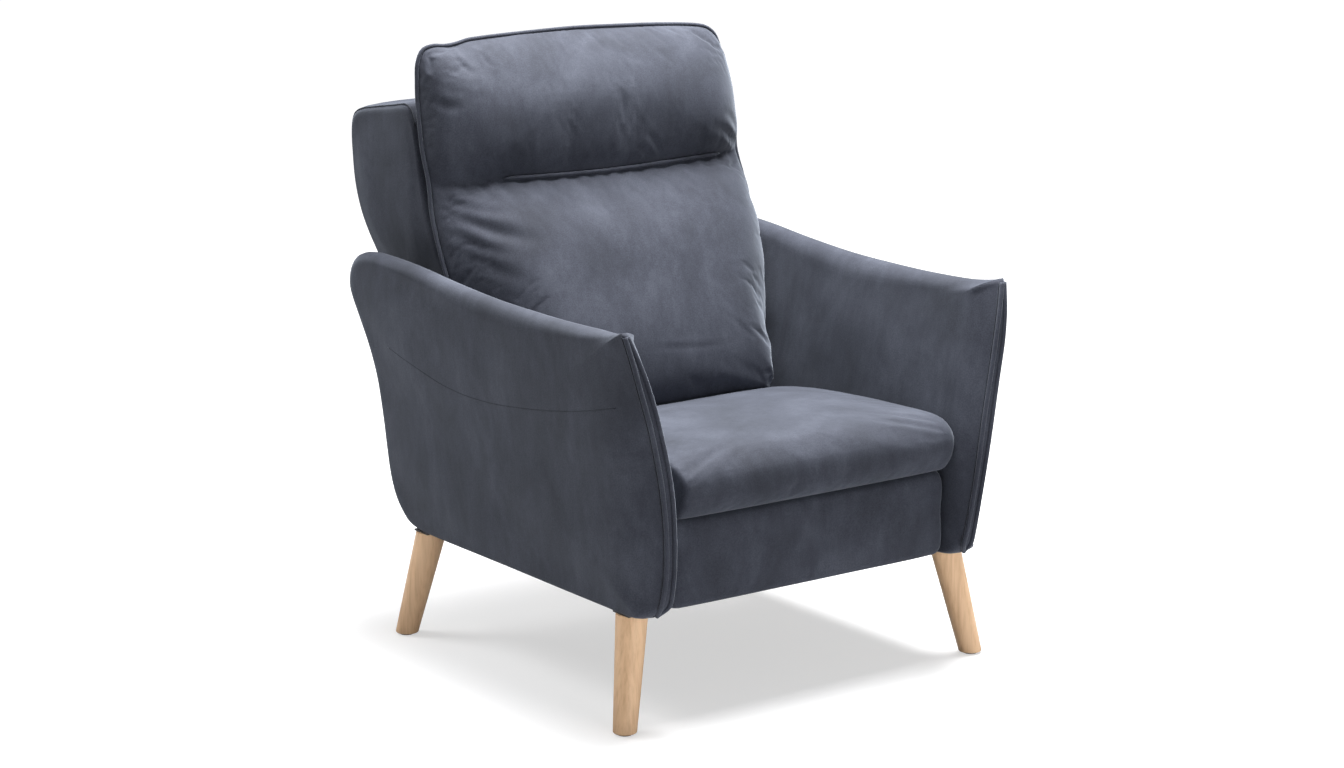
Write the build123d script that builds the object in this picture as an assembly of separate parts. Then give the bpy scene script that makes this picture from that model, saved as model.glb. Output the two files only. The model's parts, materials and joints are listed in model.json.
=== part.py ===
"""Push-back reclining armchair on four splayed wooden legs.

Millimetres, +Z up, the front faces -Y and the sitter's left is +X.
Every piece is drawn about the middle of the four feet, then moved so that the
origin lies on the floor under the middle of the whole chair.
"""
import os
from math import atan2, cos, degrees, hypot, radians, sin

from build123d import *

# Overall placing
ORIGIN_BACK = 88.4          # how far the origin lies behind the middle of the feet

# Legs
FOOT_X, FOOT_Y = 368.0, 336.0
LEG_SLOPE_X, LEG_SLOPE_Y = 0.194, 0.164   # inward travel per millimetre of height
LEG_TOP_Z = 189.0
LEG_FOOT_RADIUS, LEG_TOP_RADIUS = 19.5, 26.5
GLIDE_HEIGHT, GLIDE_RADIUS = 3.0, 12.0
LEG_PLATE, LEG_PLATE_THICK = 44.0, 3.0
LEG_BOLT_RADIUS, LEG_BOLT_DOWN, LEG_BOLT_UP = 4.0, 40.0, 36.0

# Arms
RAIL_X = (302.0, 348.0)
RAIL_Y = (-315.0, 312.0)
RAIL_Z = (192.0, 232.0)
ARM_INNER_X = 292.0
ARM_PANEL_THICK, ARM_PANEL_LEAN, ARM_PANEL_X = 18.0, 6.0, 328.0

# Fixed mechanism
BASE_PLATE_X, PLATE_THICK = 283.0, 4.0
TRAVEL, TRAVEL_RISE = 90.0, 6.0             # carriage travel, and its slope in degrees
ROLLER_RADIUS, ROLLER_CLEARANCE = 8.0, 0.3
ROLLERS = ((-120.0, 309.0), (130.0, 309.0))
TUBE_RADIUS, TUBE_WALL = 10.0, 2.0
BASE_TUBES = {"base_tube_front": (-20.0, 282.0), "base_tube_rear": (140.0, 222.0)}
ARM_BOLT_Y, ARM_BOLT_Z = (-225.0, -40.0, 100.0), 215.0
ARM_BOLT_RADIUS, ARM_BOLT_END_X = 4.0, 330.0

# Seat carriage
SEAT_PLATE_X = 275.0
SEAT_RAIL_Z = (306.0, 330.0)
SEAT_RAIL_WIDTH = 25.0
SEAT_FRAME_Y = (-290.0, 150.0)
SEAT_CUSHION_X = 288.0
SPRING_COUNT, SPRING_SPACING, SPRING_WIRE = 5, 92.0, 1.9
SPRING_SWING, SPRING_PITCH, SPRING_BEND = 21.0, 26.0, 5.0
SPRING_LEAD, SPRING_Z = 12.0, 332.5
CLIP = (26.0, 16.0, 5.0)

# Backrest
BACK_PIVOT = (200.0, 335.0)
BACK_PIN_RADIUS, RUNNING_FIT = 7.0, 0.05
BACK_BOARD_X, BACK_BOARD_THICK = 244.0, 15.0
SHELL_WALL = 14.0
STRAP_COUNT, STRAP_HEIGHT, STRAP_THICK = 6, 52.0, 2.0
COIL_RADIUS, COIL_WIRE, COIL_TURNS, COIL_PITCH = 11.0, 1.6, 4, 3.6

# Footrest linkage, as (y, z) pivots in the closed chair
DRIVE_PIVOT = (-170.0, 285.0)
DRIVE_LENGTH, DRIVE_ANGLE = 200.0, 190.0
CARRIER_LENGTH, CARRIER_ANGLE = 278.0, -5.0
DRIVE_X, CARRIER_X, BRACKET_X = 269.0, 263.0, 257.0
LINK_WIDTH, LINK_THICK = 22.0, 4.0
LINK_TUBE_RADIUS, PIVOT_RADIUS = 8.0, 6.0

# Footrest
FOOTREST_X = 284.0
FOOTREST_Y, FOOTREST_BOARD_THICK = (-352.0, -302.0), 12.0
FOOTREST_Z = (198.0, 335.0)


def reach(start, length, angle):
    """Point at a distance from start, with the angle measured from the front (-y) upwards."""
    return (start[0] - length * cos(radians(angle)), start[1] + length * sin(radians(angle)))


KNEE = reach(DRIVE_PIVOT, DRIVE_LENGTH, DRIVE_ANGLE)
ANKLE = reach(KNEE, CARRIER_LENGTH, CARRIER_ANGLE)


# ---------------------------------------------------------------- helpers

def side_prism(points, x_low, x_high, radius=0.0):
    """Solid with a closed (y, z) outline between two planes of constant x."""
    if radius:
        outline = FilletPolyline(*points, radius=radius, close=True)
    else:
        outline = Polyline(*points, close=True)
    face = Plane.YZ.location * make_face(outline.edges())
    return Pos(x_low, 0, 0) * extrude(face, x_high - x_low)


def front_prism(half_outline, y_low, y_high):
    """Solid with a symmetric (x, z) outline, given by its right half, between two y planes."""
    points = list(half_outline) + [(-x, z) for x, z in reversed(half_outline)]
    face = Plane.XZ.location * make_face(Polyline(*points, close=True).edges())
    return Pos(0, y_high, 0) * extrude(face, y_high - y_low)


def block(x, y, z):
    """Box between pairs of limits."""
    size = [high - low for low, high in (x, y, z)]
    middle = [(high + low) / 2 for low, high in (x, y, z)]
    return Pos(*middle) * Box(*size)


def rod(centre, x_low, x_high, radius):
    """Round bar along x through a (y, z) point."""
    return Pos((x_low + x_high) / 2, *centre) * Rot(0, 90, 0) * Cylinder(radius, x_high - x_low)


def upright(x, y, z_low, z_high, radius):
    """Round bar along z."""
    return Pos(x, y, (z_low + z_high) / 2) * Cylinder(radius, z_high - z_low)


def bar(start, end, x_low, thickness, width):
    """Flat bar with round ends between two (y, z) points."""
    run = (end[0] - start[0], end[1] - start[1])
    middle = ((end[0] + start[0]) / 2, (end[1] + start[1]) / 2)
    slot = Rot(0, 0, degrees(atan2(run[1], run[0]))) * SlotCenterToCenter(hypot(*run), width)
    return Pos(x_low, 0, 0) * extrude(Plane.YZ.location * Pos(*middle) * slot, thickness)


def tube(centre, half_length, radius, wall):
    """Round tube along x, the same length on both sides."""
    bore = rod(centre, -half_length, half_length, radius - wall)
    return rod(centre, -half_length, half_length, radius) - bore


def mirrored(shape):
    """The same shape on the chair's other side."""
    return mirror(shape, Plane.YZ)


def both(shape):
    """The shape and its mirror image as separate solids."""
    return Compound(list(shape.solids()) + list(mirrored(shape).solids()))


def group(shapes):
    """Separate solids in one node."""
    return Compound([solid for shape in shapes for solid in shape.solids()])


NODES = {}


def keep(name, shape):
    """Add one node."""
    NODES[name] = shape


def keep_pair(name, shape):
    """Add a node for the +x side and its mirror image."""
    keep(name + "_left", shape)
    keep(name + "_right", mirrored(shape))


# ---------------------------------------------------------------- legs

def leg_axis(side, end, z):
    """Centre of a leg at a height."""
    return (side * (FOOT_X - LEG_SLOPE_X * z), end * (FOOT_Y - LEG_SLOPE_Y * z))


def leg_bolt(side, end):
    x, y = leg_axis(side, end, LEG_TOP_Z)
    return upright(x, y, LEG_TOP_Z - LEG_BOLT_DOWN, LEG_TOP_Z + LEG_BOLT_UP, LEG_BOLT_RADIUS)


def leg_blank(side, end):
    """Tapered round leg, leaning outwards, cut level at both ends."""
    below = 20.0
    start = Vector(*leg_axis(side, end, -below), -below)
    finish = Vector(*leg_axis(side, end, LEG_TOP_Z + below), LEG_TOP_Z + below)
    along = finish - start
    growth = (LEG_TOP_RADIUS - LEG_FOOT_RADIUS) / LEG_TOP_Z
    cone = Cone(LEG_FOOT_RADIUS - growth * below, LEG_TOP_RADIUS + growth * below, along.length,
                align=(Align.CENTER, Align.CENTER, Align.MIN))
    return (Plane(origin=start, z_dir=along.normalized()).location * cone) & block(
        (-500, 500), (-500, 500), (GLIDE_HEIGHT, LEG_TOP_Z))


def leg(side, end):
    blank = leg_blank(side, end)
    rounded = fillet(blank.edges().group_by(Axis.Z)[0], 2.5)
    return rounded - leg_bolt(side, end)


def leg_plate(side, end):
    x, y = leg_axis(side, end, LEG_TOP_Z)
    plate = Pos(x, y, LEG_TOP_Z + LEG_PLATE_THICK / 2) * Box(LEG_PLATE, LEG_PLATE, LEG_PLATE_THICK)
    return plate - leg_bolt(side, end)


def glide(side, end):
    x, y = leg_axis(side, end, GLIDE_HEIGHT)
    return upright(x, y, 0, GLIDE_HEIGHT, GLIDE_RADIUS)


CORNERS = [(side, end) for side in (1, -1) for end in (1, -1)]


def make_legs():
    for side, end in CORNERS:
        name = "leg_" + ("rear" if end > 0 else "front") + ("_left" if side > 0 else "_right")
        keep(name, leg(side, end))
    keep("leg_plates", group(leg_plate(*corner) for corner in CORNERS))
    keep("leg_bolts", group(leg_bolt(*corner) for corner in CORNERS))
    keep("leg_glides", group(glide(*corner) for corner in CORNERS))


# ---------------------------------------------------------------- arms

ARM_OUTLINE = [(-350, 192), (-381, 228), (-401, 420), (-396, 540), (-371, 662), (-304, 653), (-84, 652),
               (150, 668), (300, 680), (430, 674), (484, 640), (492, 612), (431, 505), (395, 370),
               (379, 262), (345, 216), (300, 192)]
ARM_PANEL_OUTLINE = [(-325, 232), (-345, 400), (-340, 560), (-318, 632), (-84, 626), (150, 641),
                     (300, 652), (415, 642), (446, 604), (396, 500), (362, 370), (348, 275), (312, 232)]
ARM_SECTION = [(292, 180), (292, 350), (302, 420), (325, 540), (345, 620), (366, 690),
               (400, 690), (397, 620), (389, 540), (375, 420), (365, 300), (358, 180)]
# Plan outlines of the two wedges that narrow the front edge, at mid height, and how they lean
ARM_WEDGES = (([(281, -288), (344, -459), (240, -459)], 0.2),
              ([(390, -264), (330, -448), (450, -448), (450, -264)], 0.1))
WEDGE_Z = (150.0, 420.0, 720.0)             # bottom, height of the plan outline, top


def front_wedge(plan, lean):
    """Leaning prism that trims one front corner of the arm."""
    bottom, middle, top = WEDGE_Z
    face = Pos(-lean * (middle - bottom), 0, bottom) * make_face(Polyline(*plan, close=True).edges())
    return extrude(face, top - bottom, dir=(lean, 0, 1))


def arm_blank():
    """Leaning arm: cross-section trimmed by the side outline, narrowed to a band in front."""
    face = Plane.XZ.location * make_face(Polyline(*ARM_SECTION, close=True).edges())
    blank = Pos(0, 520, 0) * extrude(face, 940)
    blank = blank & side_prism(ARM_OUTLINE, 280, 420)
    for plan, lean in ARM_WEDGES:
        blank = blank - front_wedge(plan, lean)
    return blank


def arm_panel():
    flat = side_prism(ARM_PANEL_OUTLINE, 0, ARM_PANEL_THICK)
    lift = Pos(0, 0, -RAIL_Z[1]) * flat
    leaning = Rot(0, ARM_PANEL_LEAN, 0) * lift
    placed = Pos(ARM_PANEL_X - ARM_PANEL_THICK / 2, 0, RAIL_Z[1]) * leaning
    return placed & block((280, 420), (-500, 500), (RAIL_Z[1], 700))


def arm_bolts():
    """Bolts from the base plate into the arm's lower rail."""
    bolts = []
    for y in ARM_BOLT_Y:
        head = rod((y, ARM_BOLT_Z), BASE_PLATE_X - 5, BASE_PLATE_X, 7)
        bolts.append(head + rod((y, ARM_BOLT_Z), BASE_PLATE_X, ARM_BOLT_END_X, ARM_BOLT_RADIUS))
    return group(bolts)


def arm_spacers():
    low, high = BASE_PLATE_X + PLATE_THICK, ARM_INNER_X
    rings = [rod((y, ARM_BOLT_Z), low, high, 9) - rod((y, ARM_BOLT_Z), low, high, ARM_BOLT_RADIUS)
             for y in ARM_BOLT_Y]
    return group(rings)


def make_arms():
    holes = [leg_bolt(1, end) for end in (1, -1)] + list(arm_bolts().solids())
    rail = block(RAIL_X, RAIL_Y, RAIL_Z)
    cover = arm_blank() - rail - arm_panel()
    for hole in holes:
        rail = rail - hole
        cover = cover - hole
    keep_pair("arm_cover", cover)
    keep_pair("arm_rail", rail)
    keep_pair("arm_panel", arm_panel())
    keep("arm_bolts", both(arm_bolts()))
    keep("arm_spacers", both(arm_spacers()))


# ---------------------------------------------------------------- fixed mechanism

def track(roller):
    """Slot cutter for one roller, as long as the carriage travels."""
    end = reach(roller, TRAVEL, TRAVEL_RISE)
    return bar(roller, end, BASE_PLATE_X - 1, PLATE_THICK + 2, 2 * (ROLLER_RADIUS + ROLLER_CLEARANCE))


def base_plate():
    outline = [(-246, 204), (158, 204), (158, 334), (-246, 334)]
    plate = side_prism(outline, BASE_PLATE_X, BASE_PLATE_X + PLATE_THICK, radius=8)
    for roller in ROLLERS:
        plate = plate - track(roller)
    for bolt in arm_bolts().solids():
        plate = plate - bolt
    return plate


def make_base():
    keep_pair("base_plate", base_plate())
    for name, centre in BASE_TUBES.items():
        keep(name, tube(centre, BASE_PLATE_X, TUBE_RADIUS, TUBE_WALL))


# ---------------------------------------------------------------- seat carriage

def seat_plate_bolts():
    outer = SEAT_PLATE_X + PLATE_THICK
    bolts = []
    for y in (-225, -60, 60):
        shank = rod((y, 317), SEAT_PLATE_X - 18, outer, 3)
        bolts.append(shank + rod((y, 317), outer, outer + 2.5, 6))
    return group(bolts)


def seat_plate():
    """Side bar with a lobe for the drive pin in front and the hinge boss behind."""
    outline = [(-250, 296), (-196, 296), (-188, 268), (-152, 268), (-144, 296), (150, 296), (176, 312),
               (222, 322), (222, 352), (206, 360), (182, 360), (166, 326), (-250, 326)]
    plate = side_prism(outline, SEAT_PLATE_X, SEAT_PLATE_X + PLATE_THICK, radius=4)
    plate = plate - rod(BACK_PIVOT, 270, 285, BACK_PIN_RADIUS + RUNNING_FIT)
    plate = plate - rod(DRIVE_PIVOT, 270, 285, PIVOT_RADIUS)
    for roller in ROLLERS:
        plate = plate - rod(roller, 270, 285, 4)
    for bolt in seat_plate_bolts().solids():
        plate = plate - bolt
    return plate


def track_roller(centre):
    """Stud through the seat plate, with a roller in the slot and a retaining head."""
    outer = SEAT_PLATE_X + PLATE_THICK
    stud = rod(centre, SEAT_PLATE_X, outer, 4)
    flange = rod(centre, outer, BASE_PLATE_X - 0.5, 11)
    roller = rod(centre, BASE_PLATE_X - 0.5, BASE_PLATE_X + PLATE_THICK + 0.5, ROLLER_RADIUS)
    head = rod(centre, BASE_PLATE_X + PLATE_THICK + 0.5, ARM_INNER_X - 1.5, 11)
    return stud + flange + roller + head


def drive_pin():
    """Fixed pin of the drive link, with a head on the inner side."""
    stud = rod(DRIVE_PIVOT, DRIVE_X - 0.5, SEAT_PLATE_X + PLATE_THICK, PIVOT_RADIUS)
    return stud + rod(DRIVE_PIVOT, DRIVE_X - 3, DRIVE_X - 0.5, 10)


def seat_side_rail():
    rail = block((SEAT_PLATE_X - SEAT_RAIL_WIDTH, SEAT_PLATE_X), SEAT_FRAME_Y, SEAT_RAIL_Z)
    for bolt in seat_plate_bolts().solids():
        rail = rail - bolt
    return rail


def seat_spring(x):
    """Zigzag spring between the front and rear clips."""
    start, finish = SEAT_FRAME_Y[0] + 22, SEAT_FRAME_Y[1] - 22
    first, last = start + SPRING_LEAD, finish - SPRING_LEAD
    bends = int((last - first) // SPRING_PITCH)
    pitch = (last - first) / bends
    points = [(x, start), (x, first)]
    for index in range(bends):
        swing = SPRING_SWING if index % 2 else -SPRING_SWING
        points.append((x + swing, first + pitch * (index + 0.12)))
        points.append((x + swing, first + pitch * (index + 0.88)))
    points += [(x, last), (x, finish)]
    path = Pos(0, 0, SPRING_Z) * FilletPolyline(*points, radius=SPRING_BEND)
    profile = Plane(origin=path @ 0, z_dir=path % 0).location * Circle(SPRING_WIRE)
    return sweep(profile, path=path)


def spring_clip(x, y_low):
    return block((x - CLIP[0] / 2, x + CLIP[0] / 2), (y_low, y_low + CLIP[1]),
                 (SEAT_RAIL_Z[1], SEAT_RAIL_Z[1] + CLIP[2]))


def seat_cushion():
    outline = [(-352, 342), (-371, 366), (-374, 394), (-366, 417), (-338, 434), (-214, 441), (-57, 433),
               (60, 417), (138, 398), (148, 388), (148, 340)]
    return side_prism(outline, -SEAT_CUSHION_X, SEAT_CUSHION_X)


def make_seat():
    inner = SEAT_PLATE_X - SEAT_RAIL_WIDTH
    spring_xs = [SPRING_SPACING * (index - (SPRING_COUNT - 1) / 2) for index in range(SPRING_COUNT)]
    front, rear = SEAT_FRAME_Y
    keep_pair("seat_plate", seat_plate())
    keep("track_rollers", both(group(track_roller(centre) for centre in ROLLERS)))
    keep("drive_pins", both(drive_pin()))
    keep("seat_plate_bolts", both(seat_plate_bolts()))
    keep_pair("seat_side_rail", seat_side_rail())
    keep("seat_front_rail", block((-inner, inner), (front, front + SEAT_RAIL_WIDTH), SEAT_RAIL_Z))
    keep("seat_rear_rail", block((-inner, inner), (rear - SEAT_RAIL_WIDTH, rear), SEAT_RAIL_Z))
    keep("seat_springs", group(seat_spring(x) for x in spring_xs))
    clips = [spring_clip(x, y) for x in spring_xs for y in (front + 22 - CLIP[1], rear - 22)]
    keep("spring_clips", group(clips))
    keep("seat_felt", block((-272, 272), (front, 146), (336, 339)))
    keep("seat_cushion", seat_cushion())


# ---------------------------------------------------------------- backrest

SHELL_REAR = [(398, 300), (412, 380), (432, 470), (458, 560), (487, 640), (512, 690), (545, 740),
              (567, 790), (578, 850), (577, 884), (562, 905), (535, 914)]
SHELL_FRONT = [(376, 941), (361, 900), (329, 780), (294, 700), (260, 620), (219, 520), (186, 436),
               (206, 390), (240, 352), (240, 300)]
SHELL_HALF = [(271, 290), (271, 450), (318, 700), (318, 960)]
CUSHION_OUTLINE = [(72, 430), (66, 452), (84, 520), (122, 620), (158, 700), (200, 770), (222, 808),
                   (228, 850), (246, 930), (276, 1000), (306, 1042), (336, 1050), (366, 1036),
                   (375, 1000), (358, 900), (326, 780), (291, 700), (257, 620), (216, 520), (182, 432),
                   (150, 408)]
CUSHION_HALF = [(283, 400), (284, 440), (298, 520), (320, 620), (337, 700), (337, 1060)]


def back_shell_blank():
    return side_prism(SHELL_REAR + SHELL_FRONT, -330, 330) & front_prism(SHELL_HALF, 100, 620)


def shifted(points, y, z):
    return [(point[0] + y, point[1] + z) for point in points]


def back_cavity_outline():
    """Inside of the shell, open towards the cushion."""
    rear = [(384, 314)] + shifted(SHELL_REAR[1:9], -SHELL_WALL, 0) + [(561, 880), (548, 896), (533, 900)]
    return rear, [(300, 924), (100, 600), (100, 314)]


def back_board():
    """Plywood side board of the back."""
    rear, _ = back_cavity_outline()
    front = [(380, 911), (364, 890), (333, 782), (298, 702), (264, 622), (223, 522), (200, 450),
             (212, 404), (248, 364), (254, 314)]
    return side_prism(shifted(rear, -3, 0) + front, BACK_BOARD_X, BACK_BOARD_X + BACK_BOARD_THICK)


def back_bracket_bolts():
    bolts = []
    for centre in ((290, 350), (262, 420), (282, 500)):
        head = rod(centre, BACK_BOARD_X - 8, BACK_BOARD_X - 4, 6)
        bolts.append(head + rod(centre, BACK_BOARD_X - 4, BACK_BOARD_X + 12, 3))
    return group(bolts)


def back_bracket():
    """Steel plate from the hinge pin to the side board."""
    outline = [(182, 322), (206, 314), (306, 334), (306, 366), (284, 384), (300, 512), (272, 516),
               (244, 424), (222, 366), (184, 352)]
    plate = side_prism(outline, BACK_BOARD_X - 4, BACK_BOARD_X, radius=5)
    plate = plate - rod(BACK_PIVOT, 230, 260, BACK_PIN_RADIUS)
    for bolt in back_bracket_bolts().solids():
        plate = plate - bolt
    return plate


def back_pin():
    """Hinge pin through bracket and seat plate, with a head on each end."""
    outer = SEAT_PLATE_X + PLATE_THICK
    pin = rod(BACK_PIVOT, BACK_BOARD_X - 4, outer + 0.5, BACK_PIN_RADIUS)
    inner_head = rod(BACK_PIVOT, BACK_BOARD_X - 7, BACK_BOARD_X - 4, 11)
    outer_head = rod(BACK_PIVOT, outer + 0.5, outer + 2.5, 11)
    return pin + inner_head + outer_head


def hinge_spring():
    """Torsion spring wound round the hinge pin."""
    helix = Helix(COIL_PITCH, COIL_PITCH * COIL_TURNS, COIL_RADIUS)
    profile = Plane(origin=helix @ 0, z_dir=helix % 0).location * Circle(COIL_WIRE)
    coil = sweep(profile, path=helix, is_frenet=True)
    return Pos(253, *BACK_PIVOT) * Rot(0, 90, 0) * coil


def front_line(z):
    """y of the back's webbing at a height."""
    points = [(236, 520), (277, 620), (311, 700), (346, 780), (377, 900)]
    for (y_low, z_low), (y_high, z_high) in zip(points, points[1:]):
        if z <= z_high:
            break
    return y_low + (y_high - y_low) * (z - z_low) / (z_high - z_low)


def strap(index):
    z = 440 + index * 82
    y = front_line(z)
    lean = degrees(atan2(front_line(z + 20) - front_line(z - 20), 40))
    return Pos(0, y, z) * Rot(-lean, 0, 0) * Box(2 * BACK_BOARD_X, STRAP_THICK, STRAP_HEIGHT)


def make_back():
    cavity_rear, cavity_front = back_cavity_outline()
    inside = BACK_BOARD_X + BACK_BOARD_THICK
    board = back_board()
    for bolt in back_bracket_bolts().solids():
        board = board - bolt
    shell = back_shell_blank() - side_prism(cavity_rear + cavity_front, -inside, inside)
    panel_line = shifted(SHELL_REAR[1:9], -SHELL_WALL, 0)
    panel = side_prism(panel_line + shifted(panel_line, -3, 0)[::-1], -inside, inside)
    cushion = side_prism(CUSHION_OUTLINE, -340, 340) & front_prism(CUSHION_HALF, 0, 500)
    rail_x = (-BACK_BOARD_X, BACK_BOARD_X)
    keep_pair("back_board", board)
    keep("back_top_rail", block(rail_x, (400, 520), (882, 898)))
    keep("back_middle_rail", block(rail_x, (420, 438), (600, 660)))
    keep("back_lower_rail", block(rail_x, (312, 372), (315, 333)))
    keep("back_webbing", group(strap(index) for index in range(STRAP_COUNT)))
    keep("back_panel", panel)
    keep_pair("back_bracket", back_bracket())
    keep("back_bracket_bolts", both(back_bracket_bolts()))
    keep("back_pins", both(back_pin()))
    keep("hinge_springs", both(hinge_spring()))
    keep("back_shell", shell)
    keep("back_cushion", cushion)


# ---------------------------------------------------------------- footrest linkage

def drive_link():
    link = bar(DRIVE_PIVOT, KNEE, DRIVE_X, LINK_THICK, LINK_WIDTH)
    link = link - rod(DRIVE_PIVOT, 260, 280, PIVOT_RADIUS + RUNNING_FIT)
    return link - rod(KNEE, 260, 280, LINK_TUBE_RADIUS)


def carrier_link():
    link = bar(KNEE, ANKLE, CARRIER_X, LINK_THICK, LINK_WIDTH + 4)
    for centre in (KNEE, ANKLE):
        link = link - rod(centre, 255, 275, LINK_TUBE_RADIUS + RUNNING_FIT)
    return link


def footrest_screws():
    x = BRACKET_X - 10
    screws = []
    for z in (222, 262):
        shank = Pos(x, -301, z) * Rot(90, 0, 0) * Cylinder(2, 14)
        screws.append(shank + Pos(x, -292.5, z) * Rot(90, 0, 0) * Cylinder(4.5, 3))
    return group(screws)


def footrest_bracket():
    """Angle bracket: an upright web on the tube and a flange against the board."""
    rear = FOOTREST_Y[1]
    web = [(ANKLE[0] + 16, ANKLE[1] - 14), (ANKLE[0] + 16, ANKLE[1] + 14), (rear, 276), (rear, 212)]
    plate = side_prism(web, BRACKET_X, BRACKET_X + LINK_THICK, radius=3)
    flange = block((BRACKET_X - 22, BRACKET_X + LINK_THICK), (rear, rear + 4), (208, 276))
    bracket = plate + flange - rod(ANKLE, 240, 270, LINK_TUBE_RADIUS)
    for screw in footrest_screws().solids():
        bracket = bracket - screw
    return bracket


def board_blank(behind=0.0):
    """Footrest board, or the recess for it when it reaches behind the pad."""
    rear = FOOTREST_Y[1]
    return block((-FOOTREST_X + 24, FOOTREST_X - 24), (rear - FOOTREST_BOARD_THICK, rear + behind),
                 (FOOTREST_Z[0] + 8, FOOTREST_Z[1] - 8))


def footrest_board():
    board = board_blank()
    for screw in both(footrest_screws()).solids():
        board = board - screw
    return board


def footrest_pad():
    pad = block((-FOOTREST_X, FOOTREST_X), FOOTREST_Y, FOOTREST_Z)
    pad = fillet(pad.edges().filter_by(Axis.Z).group_by(Axis.Y)[0], 18)
    for screw in both(footrest_screws()).solids():
        pad = pad - screw
    return pad - board_blank(1.0)


def make_footrest():
    keep_pair("drive_link", drive_link())
    keep_pair("carrier_link", carrier_link())
    keep("knee_tube", tube(KNEE, DRIVE_X + LINK_THICK, LINK_TUBE_RADIUS, 1.5))
    keep("ankle_tube", tube(ANKLE, CARRIER_X + LINK_THICK + 1, LINK_TUBE_RADIUS, 1.5))
    keep_pair("footrest_bracket", footrest_bracket())
    keep("footrest_screws", both(footrest_screws()))
    keep("footrest_board", footrest_board())
    keep("footrest_pad", footrest_pad())


make_legs()
make_arms()
make_base()
make_seat()
make_back()
make_footrest()

os.makedirs("parts", exist_ok=True)
for node, shape in NODES.items():
    export_step(Pos(0, -ORIGIN_BACK, 0) * shape, "parts/" + node + ".step")
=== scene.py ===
"""Upholstered push-back armchair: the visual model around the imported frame."""
import json
import math

import bmesh
import bpy
import numpy as np
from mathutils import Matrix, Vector
from mathutils.bvhtree import BVHTree


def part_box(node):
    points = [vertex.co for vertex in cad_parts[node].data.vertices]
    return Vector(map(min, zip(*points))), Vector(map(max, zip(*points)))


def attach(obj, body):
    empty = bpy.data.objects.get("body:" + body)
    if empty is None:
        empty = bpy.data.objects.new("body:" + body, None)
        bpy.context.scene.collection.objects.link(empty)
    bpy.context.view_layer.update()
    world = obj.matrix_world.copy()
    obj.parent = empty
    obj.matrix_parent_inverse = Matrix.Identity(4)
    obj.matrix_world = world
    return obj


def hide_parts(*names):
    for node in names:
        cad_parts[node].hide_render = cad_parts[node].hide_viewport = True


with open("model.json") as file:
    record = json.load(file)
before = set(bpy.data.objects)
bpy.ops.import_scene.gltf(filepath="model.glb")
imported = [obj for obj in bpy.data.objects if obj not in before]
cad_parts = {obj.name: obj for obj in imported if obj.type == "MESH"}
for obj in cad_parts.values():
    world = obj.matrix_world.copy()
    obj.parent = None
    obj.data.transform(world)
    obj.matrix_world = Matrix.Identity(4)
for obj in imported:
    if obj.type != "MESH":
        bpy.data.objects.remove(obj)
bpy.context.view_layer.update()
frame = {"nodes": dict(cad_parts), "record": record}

# The shapes below are drawn in metres about the middle of the four feet.
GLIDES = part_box("leg_glides")
FEET_Y = (GLIDES[0][1] + GLIDES[1][1]) / 2


# ------------------------------------------------------------------ camera, light, floor

CAMERA_YAW, CAMERA_PITCH = 36.05, 12.62
CAMERA_PLACE = (-3.044, -4.141 + FEET_Y, 1.616)
CAMERA_LENS, SENSOR_WIDTH = 81.84, 36.0

# Lamps: place, target, size, power in watts
LAMPS = {
    "top": ((0.55, 0.10, 3.4), (0, -0.05, 0.4), (1.9, 2.0), 375),
    "side": ((-1.6, 1.8, 2.7), (-0.2, 0.1, 0.6), (1.4, 1.2), 48),
    "front": ((-0.4, -4.2, 1.1), (0, 0, 0.3), (2.4, 1.4), 44),
}
ROOM_LIGHT = 0.15
ROOM_SEEN = 1.0
FLOOR_HALF = 30.0


def make_camera():
    """Three-quarter view from the front, on the sitter's right, looking down a little."""
    data = bpy.data.cameras.new("camera")
    data.sensor_width = SENSOR_WIDTH
    data.lens = CAMERA_LENS
    camera = bpy.data.objects.new("camera", data)
    camera.location = CAMERA_PLACE
    camera.rotation_euler = (math.radians(90 - CAMERA_PITCH), 0, math.radians(-CAMERA_YAW))
    bpy.context.scene.collection.objects.link(camera)
    bpy.context.scene.camera = camera


def area_light(name, place, target, size, power):
    data = bpy.data.lights.new(name, "AREA")
    data.shape = "RECTANGLE"
    data.size, data.size_y = size
    data.energy = power
    light = bpy.data.objects.new(name, data)
    light.location = place
    light.rotation_euler = (Vector(target) - Vector(place)).to_track_quat("-Z", "Y").to_euler()
    bpy.context.scene.collection.objects.link(light)


def make_world():
    """White surroundings that give less light than they show."""
    world = bpy.data.worlds.new("studio")
    world.use_nodes = True
    tree = world.node_tree
    seen = tree.nodes.new("ShaderNodeLightPath").outputs["Is Camera Ray"]
    strength = tree.nodes.new("ShaderNodeMapRange")
    strength.inputs["To Min"].default_value = ROOM_LIGHT
    strength.inputs["To Max"].default_value = ROOM_SEEN
    tree.links.new(seen, strength.inputs["Value"])
    background = tree.nodes["Background"]
    background.inputs["Color"].default_value = (1, 1, 1, 1)
    tree.links.new(strength.outputs["Result"], background.inputs["Strength"])
    bpy.context.scene.world = world


def make_studio():
    make_world()
    for name, settings in LAMPS.items():
        area_light(name, *settings)
    bpy.context.scene.view_settings.view_transform = "Standard"
    mesh = bpy.data.meshes.new("floor")
    corners = [(x * FLOOR_HALF, y * FLOOR_HALF, 0) for x, y in ((-1, -1), (1, -1), (1, 1), (-1, 1))]
    mesh.from_pydata(corners, [], [(0, 1, 2, 3)])
    floor = bpy.data.objects.new("floor", mesh)
    bpy.context.scene.collection.objects.link(floor)
    floor.data.materials.append(floor_material())


# ------------------------------------------------------------------ materials

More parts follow.
